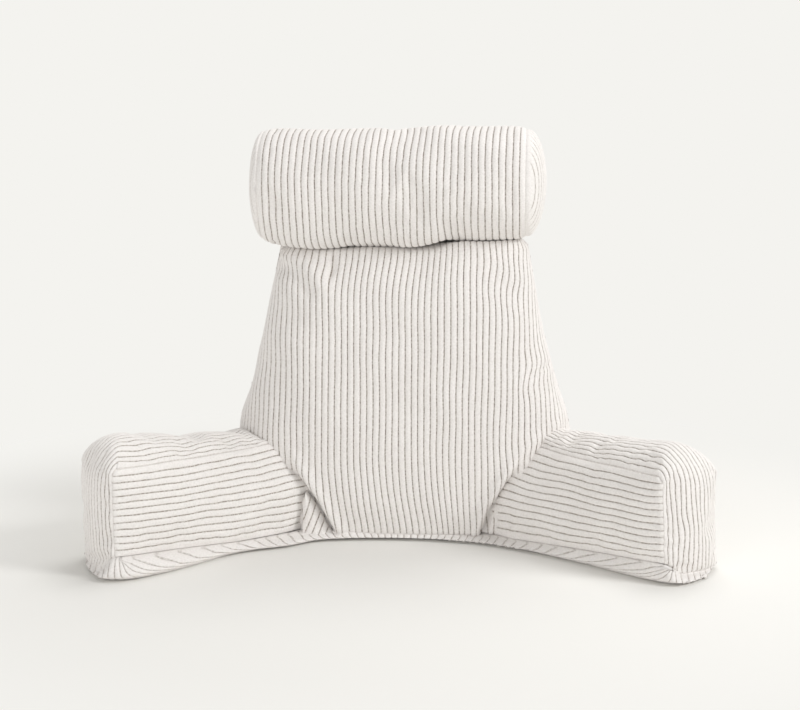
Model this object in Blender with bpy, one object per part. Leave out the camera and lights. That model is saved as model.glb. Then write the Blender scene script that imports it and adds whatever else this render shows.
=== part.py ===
"""Reading pillow: a filled backrest, two splayed arms and a neck roll, in jumbo corduroy.

Metres, +Z up, the front towards -Y, the origin under the middle of the pillow.
"""

import math

import bmesh
import bpy
import numpy as np

# Cloth
WALE_PITCH = 0.0084
WALE_RELIEF = 0.0018
SEAM_GAP = 0.0003
CUT_GAP = 0.0004
PILE_COLOUR = (0.80, 0.75, 0.70, 1.0)
PILE_ROUGHNESS = 0.9

# Whole pillow, before it is centred over the origin, and how far its cutters reach past it
MIDDLE_Y = 0.044
CUTTER_REACH = 0.6
CUTTER_DEPTH = 0.1

# Backrest
BACKREST_FOOT = 0.0084
BACKREST_TOP = 0.392
BACKREST_SIDE_BULGE = 0.010
BACKREST_FRONT_CROWN = 0.020
BACKREST_BACK_CROWN = 0.018
BACKREST_CROWN_POWER = 4
BACKREST_TOP_LIFT = 0.003
BACKREST_FRONT_Y = (0.034, 0.080)
BACKREST_BACK_Y = (0.232, 0.158)
BACKREST_END_X = 0.2205
BACKREST_PLAIN_X = 0.13
FRONT_STEPS = 10
TOP_STEPS = 5
BACK_STEPS = 5
BACKREST_HALF_WIDTHS = (
    # height, half width at the side seams
    (0.000, 0.2230),
    (0.100, 0.2185),
    (0.155, 0.2105),
    (0.176, 0.2035),
    (0.245, 0.1840),
    (0.310, 0.1690),
    (0.375, 0.1570),
    (0.386, 0.1530),
    (0.392, 0.1440),
)

# Base panel
BASE_FOLD_Y = 0.020
BASE_THICKNESS = 0.0080
BASE_RISE = 0.120
BASE_ROOM = 0.045
BASE_LOW_EDGE = 0.009
BASE_SEAM_EDGE = 0.0035
BASE_BACK_WAIST = 0.45
BASE_FRONT_WAIST = 0.66
BASE_FRONT_BELLY = 0.28
BASE_RIBS = (0.0, 0.8, 0.0, 0.0, 0.0, 0.9, 0.9, 0.0)
BASE_EDGES = (
    # across, front edge, back edge
    (-0.4000, -0.0730, -0.0480),
    (-0.3930, -0.1020, -0.0420),
    (-0.3740, -0.1380, -0.0260),
    (-0.3480, -0.1560, 0.0000),
    (-0.3300, -0.1420, 0.0190),
    (-0.2320, -0.0570, 0.1260),
    (-0.2240, -0.0510, 0.1480),
    (-0.2200, -0.0475, 0.2180),
    (-0.2100, -0.0400, 0.2350),
    (-0.1950, -0.0290, 0.2380),
    (-0.1270, 0.0240, 0.2410),
    (-0.1050, 0.0300, 0.2420),
    (0.0000, 0.0320, 0.2440),
    (0.0950, 0.0300, 0.2420),
    (0.1150, 0.0220, 0.2410),
    (0.1950, -0.0390, 0.2380),
    (0.2100, -0.0510, 0.2350),
    (0.2200, -0.0585, 0.2180),
    (0.2240, -0.0615, 0.1480),
    (0.2320, -0.0670, 0.1260),
    (0.3200, -0.1400, 0.0200),
    (0.3360, -0.1460, 0.0060),
    (0.3600, -0.1370, -0.0170),
    (0.3840, -0.1080, -0.0420),
    (0.3950, -0.0800, -0.0530),
    (0.4000, -0.0670, -0.0580),
)

# Arms: the eight corners of each, root inside the backrest
ARM_TOP_WALES = 13
ARM_PANEL_WALES = 14
ARM_CORNER_SHARE = 0.09
ARM_CORNER_DROP = 0.17
ARM_CORNER_TURNS = (22.0, 45.0, 68.0)
ARM_SEAM_ROUNDING = 0.08
ARM_SWELL_POWER = 0.7
ARM_TOP_STEPS = 9
ARM_END_STEPS = (0.81, 0.60, 0.38, 0.15)
ARM_TAPER = 0.55
ARM_TAPER_HEIGHT = 0.38
ARM_FOOT_LEVEL = -0.06
ARM_FOOT_STEPS = (1.0, 0.80, 0.57, 0.34, 0.0)
PANEL_EDGE = 0.0016
PANEL_CROWN = 0.0090
PANEL_ROOT_CROWN = 0.0210
PANEL_ROOT_REACH = 0.65
PANEL_SIDE_POWER = 4
PANEL_END_POWER = 10
PANEL_DEPTH = 0.0050
PANEL_INSET = 0.0006 / 0.13
PANEL_LOW_EDGE = 0.03
PANEL_RIBS = 0.8
PANEL_STEPS = 10
PANEL_START = 0.025
ARM_CORNERS = {
    # root or tip, inner or outer side: foot x, foot y, top x, top y, top z
    "arm_left": {
        ("root", "inner"): (-0.085, 0.060, -0.148, 0.080, 0.122),
        ("root", "outer"): (-0.170, 0.182, -0.172, 0.186, 0.110),
        ("tip", "inner"): (-0.341, -0.147, -0.343, -0.134, 0.137),
        ("tip", "outer"): (-0.395, -0.061, -0.397, -0.056, 0.137),
    },
    "arm_right": {
        ("root", "inner"): (0.073, 0.055, 0.164, 0.081, 0.122),
        ("root", "outer"): (0.172, 0.182, 0.174, 0.186, 0.114),
        ("tip", "inner"): (0.326, -0.137, 0.319, -0.134, 0.132),
        ("tip", "outer"): (0.397, -0.066, 0.393, -0.062, 0.130),
    },
}
ARM_CROWNS = {
    # crown over the top at the root, at the tip, crown of the end
    "arm_left": (0.013, 0.030, 0.013),
    "arm_right": (0.015, 0.030, 0.012),
}

# Neck roll
ROLL_RADIUS = 0.0770
ROLL_WALES = 40
ROLL_SIDES = 20
ROLL_SEAM_X = (-0.185, 0.163)
ROLL_DOMES = (0.017, 0.025)
ROLL_AXIS_Y = 0.118
ROLL_AXIS_Z = 0.4630
ROLL_YAW = -0.035
ROLL_TILT = 0.010
ROLL_SEAM_SINK = 0.0035
ROLL_SINK_REACH = 0.006
ROLL_SEAT_GAP = 0.0006
ROLL_END_STEPS = 7
ROLL_END_REACH = 0.985
ROLL_END_LIFT = 0.0022
ROLL_END_POWER = 0.62
ROLL_END_RIBS = 0.8


def cloth(name):
    """The off-white pile, as each node's own material."""
    material = bpy.data.materials.new(name)
    material.use_nodes = True
    shader = material.node_tree.nodes["Principled BSDF"]
    shader.inputs["Base Color"].default_value = PILE_COLOUR
    shader.inputs["Roughness"].default_value = PILE_ROUGHNESS
    material.diffuse_color = PILE_COLOUR
    return material


def unit(vectors):
    """Vectors scaled to a length of one."""
    return vectors / np.maximum(np.linalg.norm(vectors, axis=-1, keepdims=True), 1e-12)


def outward(rings):
    """Outward normals of a stack of closed rings."""
    around = np.roll(rings, -1, axis=1) - np.roll(rings, 1, axis=1)
    along = np.gradient(rings, axis=0)
    normals = unit(np.cross(around, along))
    middle = rings.mean(axis=1, keepdims=True)
    return normals * np.sign((normals * (rings - middle)).sum())


def cap_triangles(count, turn, first, marks):
    """Triangles that close one ring, zipped by their marks between the points before and after its turn."""
    upper = list(range(0, turn + 1))
    lower = list(range(count - 1, turn, -1))
    steps = []
    for chain in (upper, lower):
        for step in range(1, len(chain)):
            mark = step / (len(chain) - 1) if marks is None else marks[chain[step]]
            steps.append((mark, chain is upper, step))
    steps.sort()
    triangles = []
    a, b = 0, 0
    for _, is_upper, step in steps:
        if is_upper:
            triangles.append((first + upper[a], first + upper[step], first + lower[b]))
            a = step
        else:
            triangles.append((first + upper[a], first + lower[step], first + lower[b]))
            b = step
    return triangles


def solid_from_rings(name, rings, turn, marks=None):
    """One closed body from a stack of closed rings, each with its turn at the same point."""
    levels, count, _ = rings.shape
    faces = []
    for level in range(levels - 1):
        for step in range(count):
            after = (step + 1) % count
            low, high = level * count, (level + 1) * count
            faces.append((low + step, low + after, high + after))
            faces.append((low + step, high + after, high + step))
    faces += cap_triangles(count, turn, 0, marks)
    faces += cap_triangles(count, turn, (levels - 1) * count, marks)
    mesh = bpy.data.meshes.new(name)
    points = rings.reshape(-1, 3) - np.array((0.0, MIDDLE_Y, 0.0))
    mesh.from_pydata(points.tolist(), [], faces)
    body = bmesh.new()
    body.from_mesh(mesh)
    bmesh.ops.recalc_face_normals(body, faces=body.faces)
    body.to_mesh(mesh)
    body.free()
    mesh.polygons.foreach_set("use_smooth", [True] * len(mesh.polygons))
    thing = bpy.data.objects.new(name, mesh)
    bpy.context.scene.collection.objects.link(thing)
    return thing


def node(name, rings, turn, marks=None):
    """A sewn piece that stays in the model."""
    thing = solid_from_rings(name, rings, turn, marks)
    thing.data.materials.append(cloth(name))
    return thing


def cutter(name, rings, turn, marks=None):
    """A hidden block that only cuts the pieces next to it."""
    thing = solid_from_rings(name, rings, turn, marks)
    thing.hide_render = True
    thing.display_type = "WIRE"
    return thing


def cut(thing, *cutters):
    """Take each cutter out of a piece."""
    for other in cutters:
        change = thing.modifiers.new(other.name, "BOOLEAN")
        change.operation = "DIFFERENCE"
        change.solver = "EXACT"
        change.object = other


def ribbed(rings, crests, ribs):
    """Rings drawn in by the wale relief where they are grooves and the share of ribs says so."""
    depth = WALE_RELIEF * (1.0 - crests)[:, None] * ribs
    return rings - outward(rings) * depth[:, :, None]


def wale_stations(low, high, wales):
    """Stations across the wales, two to a wale, and which of them are crests."""
    stations = np.linspace(low, high, 2 * wales + 1)
    crests = np.arange(len(stations)) % 2
    return stations, crests.astype(float)


def roll_axis(x):
    """Depth and height of the neck roll's axis."""
    return ROLL_AXIS_Y + x * ROLL_YAW, ROLL_AXIS_Z + x * ROLL_TILT


def half_width_to_height(half_width):
    table = np.array(BACKREST_HALF_WIDTHS)[::-1]
    return np.interp(half_width, table[:, 1], table[:, 0])


def half_width_at(height):
    table = np.array(BACKREST_HALF_WIDTHS)
    return np.interp(height, table[:, 0], table[:, 1])


def backrest_face(x, height, edges, crown):
    """Depth of the front or back face: a leaning plane with a crown that fades at its seams."""
    share = height / BACKREST_TOP
    flat = edges[0] + (edges[1] - edges[0]) * share
    sideways = np.clip(np.abs(x) / half_width_at(height), 0.0, 1.0)
    upright = np.clip(2.0 * share - 1.0, -1.0, 1.0)
    power = BACKREST_CROWN_POWER
    return flat + crown * (1.0 - sideways**power) * (1.0 - upright**power)


def backrest_ring(x):
    """Section of the backrest across x: up the front, over the top or side, down the back."""
    seam_top = float(half_width_to_height(abs(x)))
    rise = np.linspace(BACKREST_FOOT, seam_top, FRONT_STEPS)
    front = np.stack((backrest_face(x, rise, BACKREST_FRONT_Y, -BACKREST_FRONT_CROWN), rise), 1)
    fall = np.linspace(seam_top, BACKREST_FOOT, BACK_STEPS)
    back = np.stack((backrest_face(x, fall, BACKREST_BACK_Y, BACKREST_BACK_CROWN), fall), 1)
    across = np.linspace(-1.0, 1.0, TOP_STEPS + 2)[1:-1]
    depth = 0.5 * (front[-1, 0] + back[0, 0]) + 0.5 * (back[0, 0] - front[-1, 0]) * across
    bulge = BACKREST_SIDE_BULGE * (1.0 - across**2)
    height = half_width_to_height(np.maximum(abs(x) - bulge, 0.0))
    height = np.maximum(height, seam_top) + BACKREST_TOP_LIFT * (1.0 - across**2)
    axis_y, axis_z = roll_axis(x)
    reach = ROLL_RADIUS + ROLL_SEAT_GAP
    seat = axis_z - np.sqrt(np.maximum(reach**2 - (depth - axis_y) ** 2, 0.0))
    top = np.stack((depth, np.minimum(height, seat)), 1)
    section = np.concatenate((front, top, back))
    return np.column_stack((np.full(len(section), x), section))


def make_backrest():
    """The backrest, and the cutter that fits the arms to it with a seam's gap."""
    wales = int(round(2.0 * BACKREST_END_X / WALE_PITCH))
    stations, crests = wale_stations(-BACKREST_END_X, BACKREST_END_X, wales)
    rings = np.array([backrest_ring(x) for x in stations])
    ribs = np.ones(rings.shape[1])
    ribs[[0, -1]] = 0.0
    crests[[0, -1]] = 1.0
    turn = FRONT_STEPS + TOP_STEPS // 2
    node("backrest", ribbed(rings, crests, ribs), turn)
    needed = (crests > 0.5) | (np.abs(stations) > BACKREST_PLAIN_X)
    coarse = rings[needed]
    coarse = coarse + outward(coarse) * SEAM_GAP
    coarse[0, :, 0] -= SEAM_GAP
    coarse[-1, :, 0] += SEAM_GAP
    coarse[:, [0, -1], 2] -= SEAM_GAP
    coarse[:, [0, -1], 1] += np.array((-SEAM_GAP, SEAM_GAP))
    return cutter("backrest_cutter", coarse, turn)


def base_top(y):
    """Height of the base panel's top, which rises towards the arms' tips."""
    return BASE_THICKNESS + BASE_RISE * np.maximum(BASE_FOLD_Y - y, 0.0)


def base_ring(x):
    """Section of the base panel across x: flat underneath, both edges curled up to their seams."""
    table = np.array(BASE_EDGES)
    front = float(np.interp(x, table[:, 0], table[:, 1]))
    back = float(np.interp(x, table[:, 0], table[:, 2]))
    room = min(1.0, (back - front) / BASE_ROOM)
    low, seam = BASE_LOW_EDGE * room, BASE_SEAM_EDGE * room
    inner = float(np.clip(BASE_FOLD_Y, front + 1.4 * seam, back - 1.4 * seam))
    at_front = base_top(front + seam)
    at_back = base_top(back - seam)
    section = (
        (back - low, 0.0),
        (back, BASE_BACK_WAIST * at_back),
        (back - seam, at_back),
        (inner, base_top(inner)),
        (front + seam, at_front),
        (front - 0.5 * seam, BASE_FRONT_WAIST * at_front),
        (front - 0.3 * seam, BASE_FRONT_BELLY * at_front),
        (front + low, 0.0),
    )
    return [(x, y, z) for y, z in section]


def make_base():
    """The base panel, its wales from front to back."""
    low, high = BASE_EDGES[0][0], BASE_EDGES[-1][0]
    wales = int(round((high - low) / WALE_PITCH))
    stations, crests = wale_stations(low, high, wales)
    rings = np.array([base_ring(x) for x in stations])
    node("base_panel", ribbed(rings, crests, np.array(BASE_RIBS)), 3)


def make_base_cutter():
    """Block that takes everything below the base panel's top, and a seam's gap above it."""
    level = BASE_THICKNESS + CUT_GAP
    section = (
        (-CUTTER_REACH, -CUTTER_DEPTH),
        (CUTTER_REACH, -CUTTER_DEPTH),
        (CUTTER_REACH, level),
        (BASE_FOLD_Y, level),
        (-CUTTER_REACH, float(base_top(-CUTTER_REACH)) + CUT_GAP),
    )
    rings = np.array([[(x, y, z) for y, z in section] for x in (-CUTTER_REACH, CUTTER_REACH)])
    return cutter("base_cutter", rings, 2)


def arm_point(name, along, side, up):
    """A point of an arm's filled block, from its eight corners. Its foot is below the base panel's top."""
    corners = ARM_CORNERS[name]
    ends = []
    for end in ("root", "tip"):
        sides = []
        for which in ("inner", "outer"):
            foot_x, foot_y, top_x, top_y, top_z = corners[end, which]
            foot = np.array((foot_x, foot_y, 0.0))
            top = np.array((top_x, top_y, top_z))
            sides.append(foot + (top - foot) * up)
        ends.append(sides[0] + (sides[1] - sides[0]) * side)
    return ends[0] + (ends[1] - ends[0]) * along


def arm_profile(swell):
    """Steps of the gusset from root to tip and down the end: share along, share up, lift, push."""
    rounding = max(swell, ARM_SEAM_ROUNDING)
    flat = np.linspace(0.0, 1.0 - ARM_CORNER_SHARE, ARM_TOP_STEPS)
    steps = [(along, 1.0, 1.0, 0.0) for along in flat]
    for turn in np.radians(ARM_CORNER_TURNS):
        along = 1.0 - ARM_CORNER_SHARE * rounding * (1.0 - math.sin(turn))
        up = 1.0 - ARM_CORNER_DROP * rounding * (1.0 - math.cos(turn))
        steps.append((along, up, math.cos(turn), math.sin(turn)))
    for up in ARM_END_STEPS:
        steps.append((1.0, up, 0.0, 1.0))
    return steps


def arm_ring(name, side):
    """Section of an arm at one share of its width: along the top, down the end and back under."""
    root_crown, tip_crown, end_crown = ARM_CROWNS[name]
    swell = (1.0 - (2.0 * side - 1.0) ** 2) ** ARM_SWELL_POWER
    tip = arm_point(name, 1.0, side, 0.5)
    outwards = tip - arm_point(name, 0.8, side, 0.5)
    outwards = outwards / np.linalg.norm(outwards)
    points = []
    for along, up, lift, push in arm_profile(swell):
        crown = root_crown + (tip_crown - root_crown) * along
        point = arm_point(name, along, side, up)
        point = point + np.array((0.0, 0.0, crown * swell * lift))
        low = 1.0 - ARM_TAPER * max(0.0, ARM_TAPER_HEIGHT - up) / ARM_TAPER_HEIGHT
        points.append(point + outwards * end_crown * swell * push * low)
    for along in ARM_FOOT_STEPS:
        points.append(arm_point(name, along, side, ARM_FOOT_LEVEL))
    return points


def arm_marks():
    """Where each point of an arm's section lies along it, the end's points beyond the tip."""
    marks = [along + (1.0 - up) * (along == 1.0) for along, up, _, _ in arm_profile(0.0)]
    return marks + [3.0] + list(ARM_FOOT_STEPS[1:])


def make_arm(name, backrest_cutter, base_cutter):
    """An arm and its two side panels, cut to the backrest and the base panel."""
    stations, crests = wale_stations(0.0, 1.0, ARM_TOP_WALES)
    rings = np.array([arm_ring(name, side) for side in stations])
    ribs = np.ones(rings.shape[1])
    ribs[-len(ARM_FOOT_STEPS) :] = 0.0
    crests[[0, -1]] = 1.0
    turn = rings.shape[1] - len(ARM_FOOT_STEPS) - 1
    marks = arm_marks()
    arm = node(name, ribbed(rings, crests, ribs), turn, marks)
    cut(arm, base_cutter, backrest_cutter)
    plain = np.array([arm_ring(name, side) for side in (0.0, 0.5, 1.0)])
    for which, side in (("inner", 0.0), ("outer", 1.0)):
        away = panel_normal(name, side, 0.6, 0.5) * SEAM_GAP
        core = cutter(f"{name}_{which}_cutter", plain + away, turn, marks)
        panel = make_panel(name, which, side)
        cut(panel, base_cutter, backrest_cutter, core)


def panel_normal(name, side, along, up):
    """Direction out of an arm's inner or outer face."""
    run = arm_point(name, along + 0.05, side, up) - arm_point(name, along - 0.05, side, up)
    rise = arm_point(name, along, side, up + 0.05) - arm_point(name, along, side, up - 0.05)
    normal = np.cross(run, rise)
    normal = normal / np.linalg.norm(normal)
    away = arm_point(name, along, side, up) - arm_point(name, along, 0.5, up)
    return normal * np.sign(np.dot(normal, away))


def make_panel(name, which, side):
    """Crowned panel over an arm's inner or outer face, its wales along the arm."""
    far = 1.0 - PANEL_INSET
    stations, crests = wale_stations(PANEL_LOW_EDGE, far, ARM_PANEL_WALES)
    rings = []
    for up in stations:
        spread = 1.0 - (2.0 * up - 1.0) ** PANEL_SIDE_POWER
        ring = []
        for along in np.linspace(PANEL_START, far, PANEL_STEPS):
            rooted = max(0.0, 1.0 - along / PANEL_ROOT_REACH) if which == "inner" else 0.0
            crown = (PANEL_CROWN + (PANEL_ROOT_CROWN - PANEL_CROWN) * rooted) * spread
            crown *= 1.0 - along**PANEL_END_POWER
            out = panel_normal(name, side, along, up)
            ring.append(arm_point(name, along, side, up) + out * (PANEL_EDGE + crown))
        for along in (far, 0.5, PANEL_START):
            out = panel_normal(name, side, along, up)
            ring.append(arm_point(name, along, side, up) - out * PANEL_DEPTH)
        rings.append(ring)
    rings = np.array(rings)
    ribs = np.zeros(rings.shape[1])
    ribs[:PANEL_STEPS] = PANEL_RIBS
    return node(f"{name}_{which}_panel", ribbed(rings, crests, ribs), PANEL_STEPS - 1)


def make_roll():
    """The neck roll, its wales round it, and its two ends."""
    stations, crests = wale_stations(ROLL_SEAM_X[0], ROLL_SEAM_X[1], ROLL_WALES)
    turns = 2.0 * math.pi * np.arange(ROLL_SIDES) / ROLL_SIDES
    rings = []
    for x in stations:
        axis_y, axis_z = roll_axis(x)
        edge = min(x - ROLL_SEAM_X[0], ROLL_SEAM_X[1] - x)
        radius = ROLL_RADIUS - ROLL_SEAM_SINK * math.exp(-edge / ROLL_SINK_REACH)
        ring = [(x, axis_y + radius * math.cos(a), axis_z + radius * math.sin(a)) for a in turns]
        rings.append(ring)
    node("neck_roll", ribbed(np.array(rings), crests, np.ones(ROLL_SIDES)), ROLL_SIDES // 2)
    for label, seam, dome, way in (
        ("left", ROLL_SEAM_X[0], ROLL_DOMES[0], -1.0),
        ("right", ROLL_SEAM_X[1], ROLL_DOMES[1], 1.0),
    ):
        make_roll_end(label, seam, dome, way)


def make_roll_end(label, seam, dome, way):
    """Domed disc that closes the neck roll, its wales upright."""
    radius = ROLL_RADIUS - ROLL_SEAM_SINK
    wales = int(round(2.0 * radius / WALE_PITCH))
    stations, crests = wale_stations(-ROLL_END_REACH, ROLL_END_REACH, wales)
    axis_y, axis_z = roll_axis(seam)
    rings = []
    for share in stations:
        tall = radius * math.sqrt(1.0 - share**2)
        ring = []
        for up in np.linspace(-1.0, 1.0, ROLL_END_STEPS):
            swell = max(0.0, 1.0 - share**2 - (1.0 - share**2) * up**2) ** ROLL_END_POWER
            out = SEAM_GAP + ROLL_END_LIFT + dome * swell
            ring.append((seam + way * out, axis_y + radius * share, axis_z + tall * up))
        for up in (1.0, -1.0):
            ring.append((seam + way * SEAM_GAP, axis_y + radius * share, axis_z + tall * up))
        rings.append(ring)
    rings = np.array(rings)
    ribs = np.zeros(rings.shape[1])
    ribs[1 : ROLL_END_STEPS - 1] = ROLL_END_RIBS
    node(f"neck_roll_end_{label}", ribbed(rings, crests, ribs), ROLL_END_STEPS - 1)


def clear_scene():
    """Remove whatever the new file holds."""
    for thing in list(bpy.data.objects):
        bpy.data.objects.remove(thing, do_unlink=True)


clear_scene()
backrest_block = make_backrest()
make_base()
base_block = make_base_cutter()
for arm_name in ARM_CORNERS:
    make_arm(arm_name, backrest_block, base_block)
make_roll()
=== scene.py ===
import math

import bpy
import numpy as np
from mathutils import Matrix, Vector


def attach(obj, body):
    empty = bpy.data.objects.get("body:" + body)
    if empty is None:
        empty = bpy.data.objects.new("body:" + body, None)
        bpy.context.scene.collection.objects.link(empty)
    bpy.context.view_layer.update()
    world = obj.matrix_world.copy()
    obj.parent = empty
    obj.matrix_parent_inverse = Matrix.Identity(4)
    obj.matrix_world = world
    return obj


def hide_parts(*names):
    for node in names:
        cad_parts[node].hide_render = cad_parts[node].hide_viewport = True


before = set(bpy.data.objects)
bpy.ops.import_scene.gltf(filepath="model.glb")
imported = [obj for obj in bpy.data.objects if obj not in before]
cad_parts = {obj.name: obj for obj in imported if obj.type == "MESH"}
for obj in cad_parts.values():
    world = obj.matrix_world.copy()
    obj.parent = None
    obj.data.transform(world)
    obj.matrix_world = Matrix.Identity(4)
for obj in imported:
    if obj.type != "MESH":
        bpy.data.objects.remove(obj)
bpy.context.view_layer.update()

# %% [markdown]
# A reading pillow is a stuffed backrest with two arms and a neck roll. Its cover is jumbo
# corduroy, a cloth with thick soft ribs that tailors call wales. The packed model gives the
# sizes, and this script gives each sewn piece its cloth, its filling and its light.

# %% [markdown]
# Everything on this pillow follows from one size, the pitch of the wales. Jumbo corduroy has
# three wales to the inch. The tables below are the pattern pieces: short lists of real sizes
# that a smooth curve then joins, as a tailor joins chalk marks. The floor is at height 0, the
# sitter's side is towards -y, and left and right are as one sees the pillow from there.

# %% Sizes of the cloth and the pattern pieces, in metres
WALE_PITCH = 0.0084
WALE_HEIGHT = 0.0021
MIDDLE_Y = 0.044

BACKREST_FOOT = 0.0084
BACKREST_TOP = 0.392
BACKREST_FRONT_Y = (0.034, 0.080)
BACKREST_BACK_Y = (0.232, 0.158)
BACKREST_FRONT_CROWN = 0.020
BACKREST_BACK_CROWN = 0.018
BACKREST_SIDE_BULGE = 0.010
BACKREST_HALF_WIDTHS = (
    # height, half width at the side seams
    (0.000, 0.2230),
    (0.100, 0.2185),
    (0.155, 0.2105),
    (0.176, 0.2035),
    (0.245, 0.1840),
    (0.310, 0.1690),
    (0.375, 0.1570),
    (0.386, 0.1530),
    (0.392, 0.1440),
)

BASE_FOLD_Y = 0.020
BASE_THICKNESS = 0.0080
BASE_RISE = 0.120
BASE_EDGES = (
    # across, front edge, back edge
    (-0.3965, -0.0680, -0.0520),
    (-0.3910, -0.0900, -0.0420),
    (-0.3720, -0.1330, -0.0260),
    (-0.3480, -0.1610, 0.0000),
    (-0.3300, -0.1600, 0.0190),
    (-0.2920, -0.1340, 0.0600),
    (-0.2320, -0.0680, 0.1260),
    (-0.2240, -0.0580, 0.1480),
    (-0.2200, -0.0545, 0.2000),
    (-0.2100, -0.0460, 0.2220),
    (-0.1950, -0.0350, 0.2330),
    (-0.1400, -0.0080, 0.2375),
    (-0.1140, 0.0130, 0.2385),
    (-0.0800, 0.0230, 0.2390),
    (0.0000, 0.0290, 0.2400),
    (0.0850, 0.0200, 0.2390),
    (0.1200, 0.0090, 0.2375),
    (0.1950, -0.0390, 0.2330),
    (0.2100, -0.0510, 0.2220),
    (0.2200, -0.0585, 0.2000),
    (0.2240, -0.0615, 0.1480),
    (0.2320, -0.0670, 0.1260),
    (0.3200, -0.1400, 0.0200),
    (0.3360, -0.1460, 0.0060),
    (0.3600, -0.1340, -0.0170),
    (0.3820, -0.1040, -0.0420),
    (0.3925, -0.0780, -0.0530),
    (0.3965, -0.0650, -0.0590),
)

ARM_CORNERS = {
    # root or tip, inner or outer side: foot x, foot y, top x, top y, top z
    "arm_left": {
        ("root", "inner"): (-0.099, 0.062, -0.148, 0.080, 0.122),
        ("root", "outer"): (-0.170, 0.182, -0.172, 0.186, 0.110),
        ("tip", "inner"): (-0.341, -0.147, -0.343, -0.134, 0.137),
        ("tip", "outer"): (-0.395, -0.061, -0.397, -0.056, 0.137),
    },
    "arm_right": {
        ("root", "inner"): (0.089, 0.064, 0.164, 0.081, 0.122),
        ("root", "outer"): (0.172, 0.182, 0.174, 0.186, 0.114),
        ("tip", "inner"): (0.326, -0.137, 0.319, -0.134, 0.132),
        ("tip", "outer"): (0.397, -0.066, 0.393, -0.062, 0.130),
    },
}
ARM_CROWNS = {
    # crown over the top at the root, at the tip, crown of the end
    "arm_left": (0.009, 0.029, 0.013),
    "arm_right": (0.015, 0.030, 0.012),
}
ARM_CORNER_SHARE = 0.13
ARM_CORNER_DROP = 0.21
ARM_FOOT_RISE = {"arm_left": 0.005, "arm_right": 0.0}
ARM_END_DROP = 0.014
ARM_TOP_WALES = 15
ARM_PANEL_WALES = 13
PANEL_EDGE = 0.0016
PANEL_CROWN = 0.0090
PANEL_ROOT_CROWNS = {
    # share of the height, crown of the inner panel where it meets the backrest
    "arm_left": ((0.0, 0.0), (0.25, 0.0115), (0.5, 0.0220), (0.75, 0.0100), (1.0, 0.0)),
    "arm_right": ((0.0, 0.0), (0.25, 0.0120), (0.5, 0.0165), (0.75, 0.0090), (1.0, 0.0)),
}

ARM_CREASES = {
    # the line where the backrest folds in beside an arm
    "arm_left": (
        (-0.2191, 0.0568, 0.1409),
        (-0.1994, 0.0394, 0.1329),
        (-0.1830, 0.0340, 0.1248),
        (-0.1590, 0.0302, 0.1085),
        (-0.1422, 0.0315, 0.0881),
        (-0.1267, 0.0323, 0.0677),
        (-0.1136, 0.0312, 0.0505),
        (-0.1045, 0.0317, 0.0341),
        (-0.0920, 0.0319, 0.0100),
    ),
    "arm_right": (
        (0.2249, 0.0714, 0.1419),
        (0.2079, 0.0495, 0.1387),
        (0.1883, 0.0462, 0.1258),
        (0.1681, 0.0330, 0.1103),
        (0.1553, 0.0330, 0.0937),
        (0.1425, 0.0330, 0.0774),
        (0.1297, 0.0325, 0.0561),
        (0.1194, 0.0320, 0.0427),
        (0.1085, 0.0320, 0.0100),
    ),
}

ROLL_SEAM_X = (-0.185, 0.163)
ROLL_WALES = 40
ROLL_YAW = -0.035
ROLL_RING_TILT = 0.058
ROLL_AXIS_Y = 0.118
ROLL_LINE = (
    # across, height of the axis, radius
    (-0.185, 0.4600, 0.0725),
    (-0.172, 0.4595, 0.0750),
    (-0.120, 0.4600, 0.0765),
    (-0.040, 0.4618, 0.0778),
    (-0.005, 0.4610, 0.0762),
    (0.060, 0.4650, 0.0770),
    (0.110, 0.4655, 0.0762),
    (0.150, 0.4660, 0.0735),
    (0.163, 0.4660, 0.0712),
)
ROLL_DOMES = (0.017, 0.025)
ROLL_SAG = (
    # across, how far the roll hangs down over the backrest's front edge
    (-0.185, 0.0040),
    (-0.153, 0.0090),
    (-0.090, 0.0120),
    (-0.040, 0.0100),
    (0.020, 0.0130),
    (0.045, 0.0100),
    (0.065, 0.0035),
    (0.085, 0.0000),
    (0.163, 0.0000),
)
ROLL_SAG_TURN = 4.12
ROLL_SAG_SPREAD = 0.30
ROLL_GAP = 0.0014
print("width of the backrest at its foot:", 2 * BACKREST_HALF_WIDTHS[0][1])

# %% [markdown]
# Chalk marks joined by straight lines would show as corners in the finished cloth. A monotone
# cubic curve passes through every mark without a bump between them, so each table is read
# through one.

# %% A smooth curve through a table's marks
def smooth(table, x, column=1):
    """The table's column at x, by a cubic that never overshoots its marks."""
    marks = np.array(table, float)
    xs, ys = marks[:, 0], marks[:, column]
    slopes = np.diff(ys) / np.diff(xs)
    tangents = np.concatenate(([slopes[0]], 0.5 * (slopes[1:] + slopes[:-1]), [slopes[-1]]))
    turning = slopes[1:] * slopes[:-1] <= 0
    tangents[1:-1][turning] = 0.0
    limit = 3.0 * np.minimum(np.abs(slopes[1:]), np.abs(slopes[:-1]))
    tangents[1:-1] = np.clip(tangents[1:-1], -limit, limit)
    x = np.clip(np.asarray(x, float), xs[0], xs[-1])
    i = np.clip(np.searchsorted(xs, x) - 1, 0, len(xs) - 2)
    step = xs[i + 1] - xs[i]
    t = (x - xs[i]) / step
    near = ys[i] * (1 + 2 * t) * (1 - t) ** 2 + ys[i + 1] * t * t * (3 - 2 * t)
    return near + step * (tangents[i] * t * (1 - t) ** 2 - tangents[i + 1] * t * t * (1 - t))


def fade(values, low, high):
    """0 below low, 1 above high, and a smooth ramp between."""
    t = np.clip((np.asarray(values, float) - low) / (high - low), 0.0, 1.0)
    return t * t * (3.0 - 2.0 * t)


print("half width of the backrest at 0.2 m:", round(float(smooth(BACKREST_HALF_WIDTHS, 0.2)), 4))

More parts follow.
